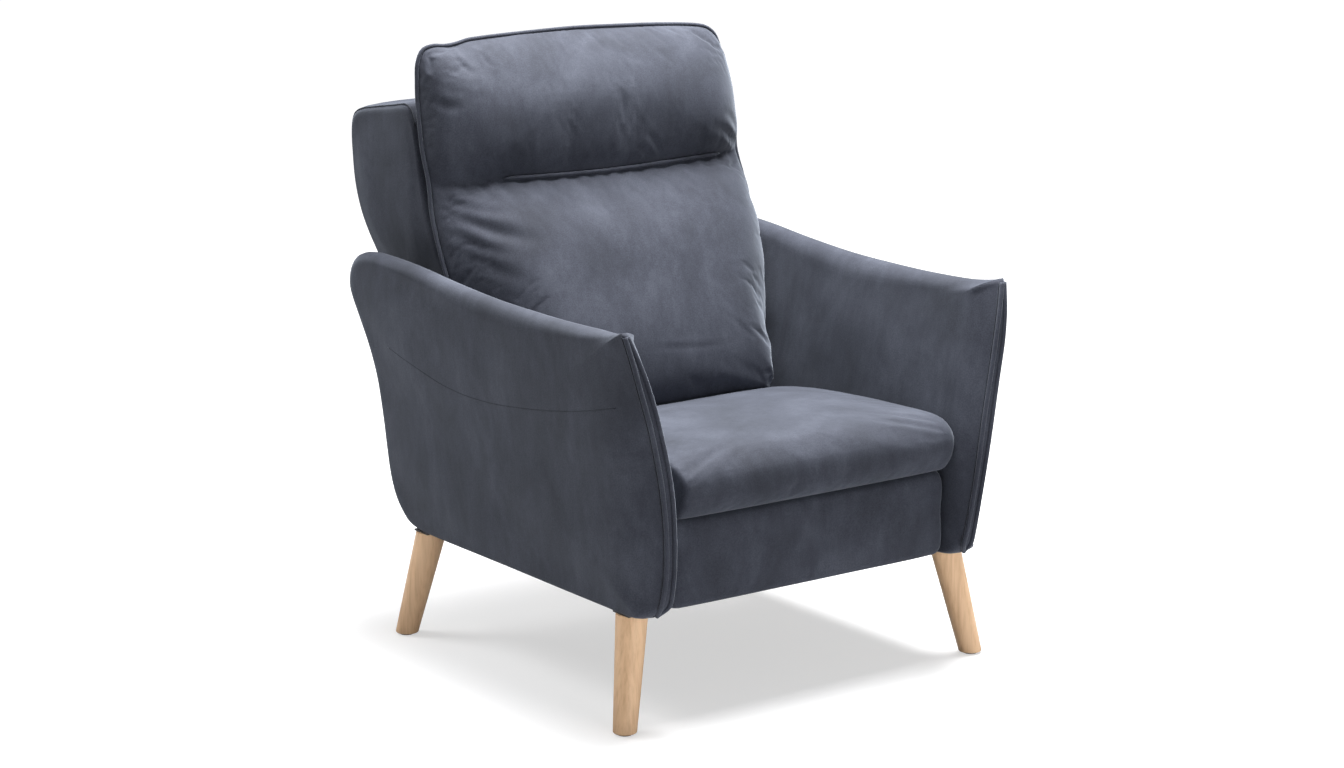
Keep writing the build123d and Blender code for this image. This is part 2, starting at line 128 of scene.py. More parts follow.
class Nodes:
    """Short way to build a node material."""

    def __init__(self, name):
        self.material = bpy.data.materials.new(name)
        self.material.use_nodes = True
        self.tree = self.material.node_tree
        self.shader = self.tree.nodes["Principled BSDF"]

    def add(self, kind, settings=None, **inputs):
        """New node; an underscore in an input's name stands for a space."""
        node = self.tree.nodes.new(kind)
        for key, value in (settings or {}).items():
            setattr(node, key, value)
        for key, value in inputs.items():
            self.put(node, key.replace("_", " "), value)
        return node

    def put(self, node, socket, value):
        """Links or sets one input, given by its name or number."""
        target = node.inputs[int(socket)] if socket.isdigit() else node.inputs[socket]
        if isinstance(value, bpy.types.NodeSocket):
            self.tree.links.new(value, target)
        else:
            target.default_value = value

    def place(self, scale=(1, 1, 1)):
        """Object coordinates, stretched."""
        coords = self.add("ShaderNodeTexCoord")
        return self.add("ShaderNodeMapping", Vector=coords.outputs["Object"], Scale=scale).outputs["Vector"]

    def noise(self, vector, scale, detail=4.0, rough=0.55, distort=0.0):
        return self.add("ShaderNodeTexNoise", Vector=vector, Scale=scale, Detail=detail, Roughness=rough,
                        Distortion=distort).outputs["Fac"]

    def ramp(self, value, stops):
        node = self.add("ShaderNodeValToRGB", Fac=value)
        ramp = node.color_ramp
        while len(ramp.elements) < len(stops):
            ramp.elements.new(0.5)
        for element, (position, colour) in zip(ramp.elements, stops):
            element.position = position
            element.color = (*colour, 1)
        return node.outputs["Color"]

    def math(self, kind, a, b):
        node = self.add("ShaderNodeMath", {"operation": kind})
        self.put(node, "0", a)
        self.put(node, "1", b)
        return node.outputs[0]

    def mix(self, kind, factor, a, b):
        node = self.add("ShaderNodeMix", {"data_type": "RGBA", "blend_type": kind})
        self.put(node, "0", factor)
        self.put(node, "6", a)
        self.put(node, "7", b)
        return node.outputs[2]

    def bump(self, height, strength, distance, normal=None):
        node = self.add("ShaderNodeBump", Height=height, Strength=strength, Distance=distance)
        if normal is not None:
            self.put(node, "Normal", normal)
        return node.outputs["Normal"]


def simple_material(name, colour, rough):
    """Even surface with a faint variation in tone."""
    n = Nodes(name)
    tone = n.noise(n.place(), 6.0, 3.0)
    dark = tuple(c * 0.97 for c in colour)
    n.put(n.shader, "Base Color", n.ramp(tone, [(0.35, dark), (0.65, colour)]))
    n.shader.inputs["Roughness"].default_value = rough
    return n.material


def floor_material():
    """Pale floor that keeps its brightness away from the lamps."""
    n = Nodes("floor_white")
    coords = n.add("ShaderNodeTexCoord").outputs["Object"]
    far = n.add("ShaderNodeVectorMath", {"operation": "LENGTH"}, Vector=coords).outputs["Value"]
    glow = n.add("ShaderNodeMapRange", Value=far, From_Min=1.2, From_Max=3.5, To_Min=0.56, To_Max=0.95)
    seen = n.add("ShaderNodeLightPath").outputs["Is Camera Ray"]
    n.put(n.shader, "Emission Strength", n.math("MULTIPLY", glow.outputs["Result"], seen))
    n.shader.inputs["Emission Color"].default_value = (1, 1, 1, 1)
    n.shader.inputs["Base Color"].default_value = (0.50, 0.50, 0.505, 1)
    n.shader.inputs["Roughness"].default_value = 0.9
    return n.material


NAP_DARK, NAP_MIDDLE, NAP_LIGHT = (0.027, 0.030, 0.041), (0.040, 0.044, 0.060), (0.061, 0.067, 0.088)


def velvet(name, shade=1.0):
    """Brushed microfibre: mottled nap, fine weave, soft sheen."""
    n = Nodes(name)
    flat = n.place()
    cloud = n.noise(n.place((1.0, 1.0, 0.7)), 8.0, 4.0, 0.6, 0.4)
    streak = n.noise(n.place((2.0, 2.0, 0.6)), 34.0, 3.0, 0.6)
    grain = n.noise(flat, 460.0, 1.0, 0.6)
    # shade below 1 gives a darker copy of the same cloth, which is used as painted shade in the grooves and
    # seams
    tones = [tuple(c * shade for c in tone) for tone in (NAP_DARK, NAP_MIDDLE, NAP_LIGHT)]
    base = n.ramp(cloud, list(zip((0.28, 0.50, 0.72), tones)))
    streaks = n.ramp(streak, [(0.30, (0.91, 0.91, 0.92)), (0.70, (1.09, 1.09, 1.08))])
    fine = n.ramp(grain, [(0.30, (0.82, 0.82, 0.83)), (0.70, (1.16, 1.16, 1.15))])
    colour = n.mix("MULTIPLY", 1.0, base, streaks)
    colour = n.mix("MULTIPLY", 1.0, colour, fine)
    n.put(n.shader, "Base Color", colour)
    n.shader.inputs["Roughness"].default_value = 0.82
    n.shader.inputs["Sheen Weight"].default_value = 0.32
    n.shader.inputs["Sheen Roughness"].default_value = 0.40
    n.shader.inputs["Sheen Tint"].default_value = (0.74, 0.82, 0.94, 1)
    n.shader.inputs["Specular IOR Level"].default_value = 0.2
    relief = n.bump(grain, 0.22, 0.0006)
    n.put(n.shader, "Normal", n.bump(streak, 0.10, 0.0015, relief))
    return n.material


def wood(name, light, dark, along=(0, 0, 1), rough=0.42):
    """Straight fine grain along one axis."""
    n = Nodes(name)
    stretch = [28.0 if not a else 1.6 for a in along]
    grain = n.noise(n.place(stretch), 2.6, 6.0, 0.6, 0.6)
    stretch_fine = [120.0 if not a else 5.0 for a in along]
    fine = n.noise(n.place(stretch_fine), 2.2, 3.0, 0.6)
    base = n.ramp(grain, [(0.30, dark), (0.55, light), (0.80, tuple(min(1, c * 1.08) for c in light))])
    pores = n.ramp(fine, [(0.30, (0.86, 0.82, 0.78)), (0.52, (1, 1, 1))])
    n.put(n.shader, "Base Color", n.mix("MULTIPLY", 0.8, base, pores))
    n.put(n.shader, "Roughness", n.ramp(fine, [(0.3, (rough + 0.12,) * 3), (0.7, (rough,) * 3)]))
    n.put(n.shader, "Normal", n.bump(fine, 0.10, 0.0008))
    n.shader.inputs["Coat Weight"].default_value = 0.12
    n.shader.inputs["Coat Roughness"].default_value = 0.35
    return n.material


def metal(name, colour, rough, metallic=1.0):
    """Worn metal with drawn lines along x and small marks."""
    n = Nodes(name)
    lines = n.noise(n.place((0.05, 1, 1)), 300.0, 3.0)
    marks = n.noise(n.place(), 30.0, 5.0, 0.65)
    dark = tuple(c * 0.78 for c in colour)
    n.put(n.shader, "Base Color", n.ramp(marks, [(0.35, dark), (0.62, colour)]))
    smooth, coarse = (rough * 0.8,) * 3, (rough * 1.25,) * 3
    n.put(n.shader, "Roughness", n.ramp(lines, [(0.3, smooth), (0.7, coarse)]))
    n.put(n.shader, "Normal", n.bump(lines, 0.08, 0.0005))
    n.shader.inputs["Metallic"].default_value = metallic
    return n.material


def woven(name, light, dark, size):
    """Plain weave of crossing yarns."""
    n = Nodes(name)
    across = n.add("ShaderNodeTexWave", {"bands_direction": "X"}, Vector=n.place(), Scale=size)
    up = n.add("ShaderNodeTexWave", {"bands_direction": "Z"}, Vector=n.place(), Scale=size)
    pattern = n.math("MULTIPLY", across.outputs["Fac"], up.outputs["Fac"])
    n.put(n.shader, "Base Color", n.ramp(pattern, [(0.1, dark), (0.8, light)]))
    n.put(n.shader, "Normal", n.bump(pattern, 0.4, 0.001))
    n.shader.inputs["Roughness"].default_value = 0.85
    return n.material


def make_materials():
    return {
        "upholstery": velvet("upholstery"),
        # Darker copy of the cloth: painted shade for the arm's grooves and panel seams and for the shell's
        # welts
        "seam_shade": velvet("upholstery_seam_shade", 0.55),
        "beech": wood("beech", (0.86, 0.57, 0.34), (0.74, 0.47, 0.27)),
        "glide_plastic": simple_material("glide_plastic", (0.10, 0.09, 0.085), 0.6),
        "frame_timber": wood("frame_timber", (0.62, 0.44, 0.25), (0.50, 0.33, 0.17), (1, 0, 0), 0.7),
        "plywood": wood("plywood", (0.60, 0.42, 0.24), (0.47, 0.31, 0.16), (0, 1, 0), 0.65),
        "felt": woven("felt", (0.20, 0.20, 0.20), (0.10, 0.10, 0.10), 160.0),
        "webbing": woven("webbing", (0.05, 0.05, 0.055), (0.012, 0.012, 0.014), 220.0),
        "spring_steel": metal("spring_steel", (0.32, 0.31, 0.30), 0.35),
        "clip_plastic": simple_material("clip_plastic", (0.62, 0.60, 0.55), 0.5),
        "zinc_steel": metal("zinc_steel", (0.60, 0.60, 0.57), 0.32),
        "black_steel": metal("black_steel", (0.020, 0.020, 0.022), 0.45, 0.0),
    }


# ------------------------------------------------------------------ shape helpers

def shaped(table):
    """Smooth function through the pairs of a table."""
    xs = np.array(sorted(table), float)
    ys = np.array([table[key] for key in sorted(table)], float)
    slopes = np.gradient(ys, xs)

    def value(x):
        x = np.clip(np.asarray(x, float), xs[0], xs[-1])
        i = np.clip(np.searchsorted(xs, x) - 1, 0, len(xs) - 2)
        h = xs[i + 1] - xs[i]
        t = (x - xs[i]) / h
        return ((1 + 2 * t) * (1 - t) ** 2 * ys[i] + t * (1 - t) ** 2 * h * slopes[i]
                + t * t * (3 - 2 * t) * ys[i + 1] + t * t * (t - 1) * h * slopes[i + 1])
    return value


def ease(x, low=0.0, high=1.0):
    """Smooth step from 0 at low to 1 at high."""
    t = np.clip((np.asarray(x, float) - low) / (high - low), 0, 1)
    return t * t * (3 - 2 * t)


def smooth_curve(points, count, closed=True):
    """Evenly spaced points on a smooth curve through the control points."""
    p = np.array(points, float)
    if closed:
        p = np.vstack([p[-1], p, p[0], p[1]])
    else:
        p = np.vstack([2 * p[0] - p[1], p, 2 * p[-1] - p[-2]])
    t = np.linspace(0, 1, 16, endpoint=False)[:, None]
    dense = []
    for a, b, c, d in zip(p, p[1:], p[2:], p[3:]):
        dense.append(0.5 * (2 * b + (c - a) * t + (2 * a - 5 * b + 4 * c - d) * t ** 2
                            + (3 * b - a - 3 * c + d) * t ** 3))
    dense = np.vstack(dense + [p[-2:-1]])
    length = np.concatenate([[0], np.cumsum(np.linalg.norm(np.diff(dense, axis=0), axis=1))])
    at = np.linspace(0, length[-1], count, endpoint=not closed)
    return np.stack([np.interp(at, length, dense[:, k]) for k in range(dense.shape[1])], 1)


def inward(loop, centre, depths, scales):
    """Rings of a flat outline: first by a distance inwards, then by a share of what is left."""
    arm = loop - centre
    reach = np.linalg.norm(arm, axis=1)
    rings = [(centre + arm * (1 - d / reach)[:, None], np.full(len(loop), float(d))) for d in depths]
    left = 1 - depths[-1] / reach
    for share in scales:
        rings.append((centre + arm * (left * share)[:, None], reach * (1 - left * share)))
    return rings


def skin(name, rings, material, body):
    """Closed mesh through rings of points, capped at both ends."""
    rings = [np.asarray(ring) + (0, FEET_Y, 0) for ring in rings]
    count = len(rings[0])
    verts = np.vstack(rings + [rings[0].mean(0)[None], rings[-1].mean(0)[None]])
    faces = []
    for k in range(len(rings) - 1):
        for i in range(count):
            j = (i + 1) % count
            faces.append((k * count + i, k * count + j, (k + 1) * count + j, (k + 1) * count + i))
    first, last = len(verts) - 2, len(verts) - 1
    top = (len(rings) - 1) * count
    for i in range(count):
        j = (i + 1) % count
        faces.append((first, j, i))
        faces.append((last, top + i, top + j))
    return mesh_object(name, verts, faces, material, body)


def mesh_object(name, verts, faces, material, body):
    """Smooth-shaded piece that rides on the given body."""
    mesh = bpy.data.meshes.new(name)
    mesh.from_pydata([tuple(v) for v in verts], [], faces)
    bm = bmesh.new()
    bm.from_mesh(mesh)
    bmesh.ops.recalc_face_normals(bm, faces=bm.faces)
    bm.to_mesh(mesh)
    bm.free()
    mesh.polygons.foreach_set("use_smooth", [True] * len(mesh.polygons))
    piece = bpy.data.objects.new(name, mesh)
    bpy.context.scene.collection.objects.link(piece)
    piece.data.materials.append(material)
    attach(piece, body)
    return piece


def piping(name, points, radius, material, body, closed=False, sides=8):
    """Round cord sewn along a line of points."""
    p = np.asarray(points, float) + (0, FEET_Y, 0)
    count = len(p)
    ahead = np.roll(p, -1, 0) if closed else np.vstack([p[1:], 2 * p[-1:] - p[-2:-1]])
    behind = np.roll(p, 1, 0) if closed else np.vstack([2 * p[:1] - p[1:2], p[:-1]])
    along = ahead - behind
    along /= np.linalg.norm(along, axis=1)[:, None]
    side = np.cross(along[0], (0.3, 0.5, 0.8))
    side /= np.linalg.norm(side)
    verts = []
    for i in range(count):
        side = side - along[i] * side.dot(along[i])
        side /= np.linalg.norm(side)
        other = np.cross(along[i], side)
        size = radius[i] if np.ndim(radius) else radius
        for k in range(sides):
            a = 2 * math.pi * k / sides
            verts.append(p[i] + size * (math.cos(a) * side + math.sin(a) * other))
    faces = []
    for i in range(count if closed else count - 1):
        for k in range(sides):
            a, b = i * sides + k, i * sides + (k + 1) % sides
            c, d = ((i + 1) % count) * sides + k, ((i + 1) % count) * sides + (k + 1) % sides
            faces.append((a, b, d, c))
    if not closed:
        faces.append(tuple(range(sides))[::-1])
        faces.append(tuple((count - 1) * sides + k for k in range(sides)))
    return mesh_object(name, verts, faces, material, body)


def co_array(mesh):
    """Vertex places as rows of an array."""
    out = np.empty(len(mesh.vertices) * 3)
    mesh.vertices.foreach_get("co", out)
    return out.reshape(-1, 3)


def set_co(mesh, co):
    mesh.vertices.foreach_set("co", np.ascontiguousarray(co, dtype=np.float32).ravel())
    mesh.update()


def apply_modifiers(piece):
    """Replaces the piece's mesh with what its modifiers make of it."""
    evaluated = piece.evaluated_get(bpy.context.evaluated_depsgraph_get())
    mesh = bpy.data.meshes.new_from_object(evaluated)
    piece.modifiers.clear()
    old = piece.data
    piece.data = mesh
    bpy.data.meshes.remove(old)


CLOTH_GRID = 0.0052
CLOTH_FRAMES = 20
CLOTH_STIFFNESS, SHEAR_STIFFNESS, BENDING_STIFFNESS = 12, 4, 0.35


def puff(piece, pressure, furthest, pinned, spare):
    """Cloth inflation: the form is remeshed, blown up with its seams held, and kept near its start."""
    remesh = piece.modifiers.new("remesh", "REMESH")
    remesh.mode = "VOXEL"
    remesh.voxel_size = CLOTH_GRID
    apply_modifiers(piece)
    start = co_array(piece.data)
    hold = pinned(start - (0, FEET_Y, 0))
    group = piece.vertex_groups.new(name="held")
    for index in np.nonzero(hold > 0.02)[0]:
        group.add([int(index)], float(hold[index]), "REPLACE")
    modifier = piece.modifiers.new("cloth", "CLOTH")
    settings = modifier.settings
    settings.quality = 5
    settings.mass = 0.25
    settings.tension_stiffness = settings.compression_stiffness = CLOTH_STIFFNESS
    settings.shear_stiffness = SHEAR_STIFFNESS
    settings.bending_stiffness = BENDING_STIFFNESS
    settings.use_pressure = True
    settings.uniform_pressure_force = pressure
    settings.effector_weights.gravity = 0
    settings.vertex_group_mass = "held"
    settings.shrink_min = -spare
    modifier.collision_settings.use_collision = False
    scene = bpy.context.scene
    for number in range(1, CLOTH_FRAMES + 1):
        scene.frame_set(number)
    evaluated = piece.evaluated_get(bpy.context.evaluated_depsgraph_get())
    moved = co_array(evaluated.to_mesh()) - start
    evaluated.to_mesh_clear()
    piece.modifiers.clear()
    size = np.maximum(np.linalg.norm(moved, axis=1), 1e-9)
    set_co(piece.data, start + moved * (furthest * np.tanh(size / furthest) / size)[:, None])
    piece.vertex_groups.clear()
    scene.frame_set(1)
    smooth = piece.modifiers.new("smooth", "SUBSURF")
    smooth.levels = smooth.render_levels = 1
    apply_modifiers(piece)
    piece.data.polygons.foreach_set("use_smooth", [True] * len(piece.data.polygons))


def crease(piece, amount):
    """Pushes the surface in along its normals by amount(points, normals)."""
    points = co_array(piece.data)
    normals = np.empty(len(points) * 3)
    piece.data.vertices.foreach_get("normal", normals)
    normals = normals.reshape(-1, 3)
    set_co(piece.data, points - normals * amount(points - (0, FEET_Y, 0), normals)[:, None])


def surface_hits(piece, points, direction, lift):
    """Where rays from the given points meet the piece, lifted off it a little."""
    verts = [tuple(v) for v in co_array(piece.data)]
    tree = BVHTree.FromPolygons(verts, [tuple(face.vertices) for face in piece.data.polygons])
    ray = Vector(direction).normalized()
    hits = []
    for point in points:
        start = Vector(point) + Vector((0, FEET_Y, 0))
        place = tree.ray_cast(start, ray)[0]
        if place is not None:
            hits.append(tuple(place - ray * lift - Vector((0, FEET_Y, 0))))
    return np.array(hits)


def ripple(p, scale, seed):
    """Cheap smooth noise, as a sum of a few sine waves in fixed directions."""
    rng = np.random.default_rng(seed)
    total = np.zeros(len(p))
    for _ in range(7):
        wave = rng.normal(size=3) * scale
        total += np.sin(p @ wave + rng.uniform(0, 6.28))
    return total / 4


# ------------------------------------------------------------------ arms

# Outline of the arm from the side, as (y, z): up the front, back along the top, down the rear
ARM_SIDE = [(-0.338, 0.188), (-0.364, 0.198), (-0.379, 0.221), (-0.391, 0.275), (-0.399, 0.35),
            (-0.401, 0.42), (-0.398, 0.50), (-0.393, 0.56), (-0.384, 0.615), (-0.374, 0.650),
            (-0.369, 0.6635), (-0.352, 0.659), (-0.304, 0.654), (-0.189, 0.651), (-0.084, 0.652),
            (0.021, 0.655), (0.147, 0.664), (0.263, 0.675), (0.350, 0.679), (0.405, 0.678),
            (0.445, 0.668), (0.469, 0.648), (0.479, 0.622), (0.476, 0.600), (0.456, 0.560),
            (0.431, 0.506), (0.416, 0.455), (0.409, 0.390), (0.405, 0.325), (0.399, 0.270),
            (0.384, 0.229), (0.357, 0.202), (0.318, 0.190), (0.260, 0.187), (0.10, 0.186),
            (-0.10, 0.186), (-0.25, 0.187)]
# Distance from the middle plane by height: the arm's two faces, and the two welts of its front band
ARM_INNER = shaped({0.18: 0.2925, 0.35: 0.2925, 0.42: 0.303, 0.48: 0.314, 0.54: 0.326, 0.62: 0.346,
                    0.68: 0.360})
ARM_OUTER = shaped({0.18: 0.353, 0.22: 0.358, 0.30: 0.365, 0.42: 0.375, 0.54: 0.389, 0.62: 0.396,
                    0.68: 0.399})
WELT_OUTER = shaped({0.18: 0.329, 0.26: 0.328, 0.34: 0.334, 0.42: 0.345, 0.50: 0.360, 0.58: 0.379,
                     0.66: 0.394})
WELT_INNER = shaped({0.18: 0.307, 0.26: 0.308, 0.34: 0.314, 0.42: 0.323, 0.50: 0.339, 0.58: 0.359,
                     0.66: 0.385})
# Curved seam across the outer face, as (y, z)
PANEL_SEAM = [(0.345, 0.520), (0.26, 0.501), (0.167, 0.483), (0.052, 0.478), (-0.075, 0.489),
              (-0.227, 0.513), (-0.340, 0.539)]
WELT_RADIUS, GROOVE_RADIUS, SEAM_RADIUS = 0.0040, 0.0011, 0.0009
ARM_CENTRE = np.array((0.02, 0.43))
ARM_POINTS = 320


def arm_normals(loop):
    """Outward directions along the arm's outline."""
    step = np.roll(loop, -1, 0) - np.roll(loop, 1, 0)
    normal = np.stack([step[:, 1], -step[:, 0]], 1)
    normal /= np.linalg.norm(normal, axis=1)[:, None]
    outward = np.sign(((loop - ARM_CENTRE) * normal).sum(1))
    return normal * outward[:, None]


def arm_x(flat, depth, front, corner, top, side):
    """Distance of the arm's skin from the chair's middle plane.

    front, corner and top say how much each outline point belongs to the front band, to the tip and to
    the soft top; side is +1 for the outer face and -1 for the inner one.
    """
    z = flat[:, 1]
    inner, outer = ARM_INNER(z), ARM_OUTER(z)
    middle, half = (inner + outer) / 2, (outer - inner) / 2
    radius = 0.010 + top * (0.006 + 0.014 * ease(z, 0.40, 0.60))
    rounded = 0.03 + 0.97 * np.sqrt(1 - (1 - np.clip(depth / radius, 0, 1)) ** 2)
    if side > 0:
        edge = (WELT_OUTER(z) - middle) / half
        reach, power = 0.10 - 0.06 * corner, 1.9
    else:
        edge = (middle - WELT_INNER(z)) / half
        reach, power = 0.055 - 0.02 * corner, 2.2
    slope = 1 - (1 - np.clip(depth / reach, 0, 1)) ** power
    fronted = edge + (1 - edge) * slope
    share = rounded * (1 - front) + fronted * front
    swell = 0.004 * ease(depth, 0.03, 0.16) * (1 if side > 0 else 0.3)
    return middle + side * (half * share + swell)


def arm_welts(name, mirror, outline, order, material, seam_shade):
    """Two welts up the front of the arm, each between two thin grooves; the grooves are thin cords in the
    darker cloth, painted shade.
    """
    for label, edge, away in (("outer", outline[0], 1), ("inner", outline[1], -1)):
        line = smooth_curve((edge[order] * (mirror, 1, 1))[::-3][::-1], 110, False)
        welt = line + (-away * mirror * 0.0022, -0.0016, 0)
        piping(f"arm_welt_{label}_{name}", welt, WELT_RADIUS, material, "base", sides=10)
        for place, shift, inset in (("side", 0.0018, 0.0020), ("front", -0.0066, 0.0004)):
            groove = line + (away * mirror * shift, inset, 0)
            piping(f"arm_groove_{label}_{place}_{name}", groove, GROOVE_RADIUS, seam_shade, "base", sides=6)


def make_arm(mirror, material, seam_shade):
    """mirror is +1 for the sitter's left arm and -1 for the right."""
    name = "left" if mirror > 0 else "right"
    loop = smooth_curve(ARM_SIDE, ARM_POINTS)
    normal = arm_normals(loop)
    front = ease(-normal[:, 0], 0.55, 0.93) * ease(-loop[:, 0], 0.30, 0.345)
    corner = (1 - ease(loop[:, 0], -0.374, -0.270)) * ease(loop[:, 1], 0.60, 0.63) * (1 - front)
    front = np.maximum(front, corner)
    top = np.maximum(ease(normal[:, 1], -0.2, 0.5), ease(normal[:, 0], 0.2, 0.8))
    depths = [0, 0.002, 0.005, 0.009, 0.014, 0.020, 0.028, 0.038, 0.050, 0.064, 0.080, 0.10]
    scales = [0.85, 0.70, 0.55, 0.40, 0.25, 0.10]
    rings = inward(loop, ARM_CENTRE, depths, scales)
    skins = []
    for side in (1, -1):
        half = []
        for flat, depth in rings:
            x = arm_x(flat, depth, front, corner, top, side)
            p = np.stack([x, flat[:, 0], flat[:, 1]], 1)
            amount = 0.0011 * ease(depth, 0.005, 0.05)
            p[:, 0] += side * amount * ripple(p, 38.0, 20 + side + 5 * mirror)
            half.append(p)
        skins.append(half)
    band = (skins[0][0] + skins[1][0]) / 2
    band[:, 1] -= 0.0015 * front
    rings = [ring * (mirror, 1, 1) for ring in skins[0][::-1] + [band] + skins[1]]
    piece = skin("arm_" + name, rings, material, "base")
    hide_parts("arm_cover_" + name)
    tip = np.argmax(loop[:, 1] - 3 * loop[:, 0])
    held = np.nonzero((loop[:, 0] < -0.333) & (loop[:, 1] < 0.664) & (normal[:, 0] < -0.30))[0]
    order = held[np.argsort(loop[held, 1])]
    order = np.append(order[loop[order, 1] < loop[tip, 1] - 0.001], tip)
    arm_welts(name, mirror, (skins[0][0], skins[1][0]), order, material, seam_shade)
    # A thin cord in the darker cloth along the outer face's seam: painted shade in the seam line.
    starts = [(mirror * 0.46, y, z) for y, z in smooth_curve(PANEL_SEAM, 90, False)]
    line = surface_hits(piece, starts, (-mirror, 0, 0), -0.0004)
    piping("arm_panel_seam_" + name, line, SEAM_RADIUS, seam_shade, "base", sides=6)


# ------------------------------------------------------------------ back shell

# Outline of the shell from the side, as (y, z): up the rear, over the top, down the front
SHELL_SIDE = [(0.250, 0.302), (0.33, 0.300), (0.388, 0.303), (0.405, 0.325), (0.421, 0.385),
              (0.443, 0.470), (0.478, 0.555), (0.509, 0.636), (0.535, 0.690), (0.560, 0.742),
              (0.576, 0.790), (0.581, 0.840), (0.582, 0.875), (0.574, 0.899), (0.550, 0.912),
              (0.500, 0.921), (0.440, 0.930), (0.392, 0.936), (0.376, 0.923), (0.361, 0.890),
              (0.331, 0.780), (0.296, 0.700), (0.262, 0.620), (0.221, 0.520), (0.196, 0.450),
              (0.215, 0.395), (0.243, 0.350)]
SHELL_HALF = shaped({0.29: 0.270, 0.45: 0.271, 0.55: 0.288, 0.62: 0.302, 0.70: 0.317, 0.80: 0.319,
                     0.95: 0.318})
SHELL_EDGE_RADIUS = 0.016
SHELL_WELT_RADIUS = 0.0016


def make_shell(material, seam_shade):
    """Outer back: two soft sides with the rear and top carried across between them."""
    loop = smooth_curve(SHELL_SIDE, 300)
    centre = np.array((0.40, 0.63))
    outward = (loop - centre) / np.linalg.norm(loop - centre, axis=1)[:, None]
    radius = SHELL_EDGE_RADIUS
    depths = [0, 0.0015, 0.004, 0.008, 0.013, 0.019, 0.03, 0.05]
    rings = inward(loop, centre, depths, [0.85, 0.7, 0.5, 0.3, 0.12])
    side_rings = []
    for flat, depth in rings:
        half = SHELL_HALF(flat[:, 1])
        rounded = np.sqrt(1 - (1 - np.clip(depth / radius, 0, 1)) ** 2)
        x = half - radius + radius * rounded + 0.004 * ease(depth, 0.01, 0.09)
        p = np.stack([x, flat[:, 0], flat[:, 1]], 1)
        p[:, 0] += 0.0012 * ease(depth, 0.004, 0.04) * ripple(p, 34.0, 11)
        side_rings.append(p)
    across = []
    edge = side_rings[0]
    for t in np.linspace(1, -1, 22)[1:-1]:
        p = edge.copy()
        p[:, 0] *= t
        rear = ease(loop[:, 0], 0.385, 0.43) * ease(loop[:, 1], 0.31, 0.35)
        p[:, 1:] += outward * (rear * 0.005 * (1 - t ** 6))[:, None]
        p[:, 1:] += outward * (rear * 0.0012 * ripple(p, 26.0, 19))[:, None]
        across.append(p)
    mirrored = [p * (-1, 1, 1) for p in side_rings]
    piece = skin("back_shell_cover", side_rings[::-1] + across + mirrored, material, "backrest")
    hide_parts("back_shell")
    # Thin cords in the darker cloth along the rear edges: painted shade along the seams.
    rear_half = np.nonzero(loop[:, 0] > 0.36)[0]
    for label, sign in (("left", 1), ("right", -1)):
        line = smooth_curve((side_rings[2][rear_half] * (sign, 1, 1))[::3], 200, False)
        piping("back_shell_welt_" + label, line, SHELL_WELT_RADIUS, seam_shade, "backrest", sides=6)


# ------------------------------------------------------------------ back cushion

# Half outline of the back cushion from the front, as (x, z), from the foot to the top
CUSHION_HALF = [(0.250, 0.404), (0.272, 0.412), (0.281, 0.440), (0.289, 0.485), (0.300, 0.530),
                (0.315, 0.580), (0.329, 0.635), (0.334, 0.690), (0.334, 0.750), (0.329, 0.806),
                (0.332, 0.860), (0.329, 0.920), (0.325, 0.970), (0.317, 1.006), (0.298, 1.028),
                (0.264, 1.0375), (0.18, 1.0435), (0.08, 1.0465)]
# By height: where the welt runs, and how far the front swells out before it
CUSHION_SIDE = shaped({0.40: 0.130, 0.46: 0.150, 0.54: 0.184, 0.62: 0.221, 0.70: 0.255, 0.78: 0.287,
                       0.84: 0.303, 0.90: 0.319, 0.96: 0.333, 1.01: 0.338, 1.06: 0.338})
CUSHION_FRONT = shaped({0.40: 0.066, 0.46: 0.088, 0.52: 0.098, 0.62: 0.100, 0.70: 0.093, 0.76: 0.080,
                        0.808: 0.060, 0.84: 0.072, 0.90: 0.084, 0.96: 0.080, 1.01: 0.066, 1.05: 0.050})
CUSHION_WELT_RADIUS = 0.0036
CUSHION_SEAM_RADIUS = 0.0034
CUSHION_CENTRE = (0.0, 0.73)
SEAM_Z = 0.808
# Folds in the back cushion: start x and z, end x and z, half-width, depth
FOLDS = [(-0.325, 0.784, -0.225, 0.757, 0.0085, 0.0030), (-0.327, 0.760, -0.185, 0.712, 0.0120, 0.0048),
         (-0.325, 0.730, -0.245, 0.692, 0.0095, 0.0026), (-0.322, 0.700, -0.225, 0.648, 0.0130, 0.0020),
         (0.326, 0.820, 0.225, 0.872, 0.0090, 0.0042), (0.318, 0.846, 0.255, 0.894, 0.0085, 0.0024),
         (0.130, 0.815, 0.085, 0.868, 0.0060, 0.0024), (0.100, 0.815, 0.066, 0.845, 0.0055, 0.0015),
         (-0.320, 0.948, -0.275, 0.940, 0.0085, 0.0022), (0.315, 0.790, 0.262, 0.776, 0.0080, 0.0028),
         (0.280, 0.480, 0.255, 0.530, 0.0090, 0.0026), (0.258, 0.440, 0.230, 0.480, 0.0090, 0.0022),
         (-0.268, 1.026, -0.244, 0.990, 0.0055, 0.0018), (-0.215, 1.028, -0.203, 0.998, 0.0055, 0.0013),
         (-0.02, 0.520, 0.17, 0.512, 0.0060, 0.0006)]


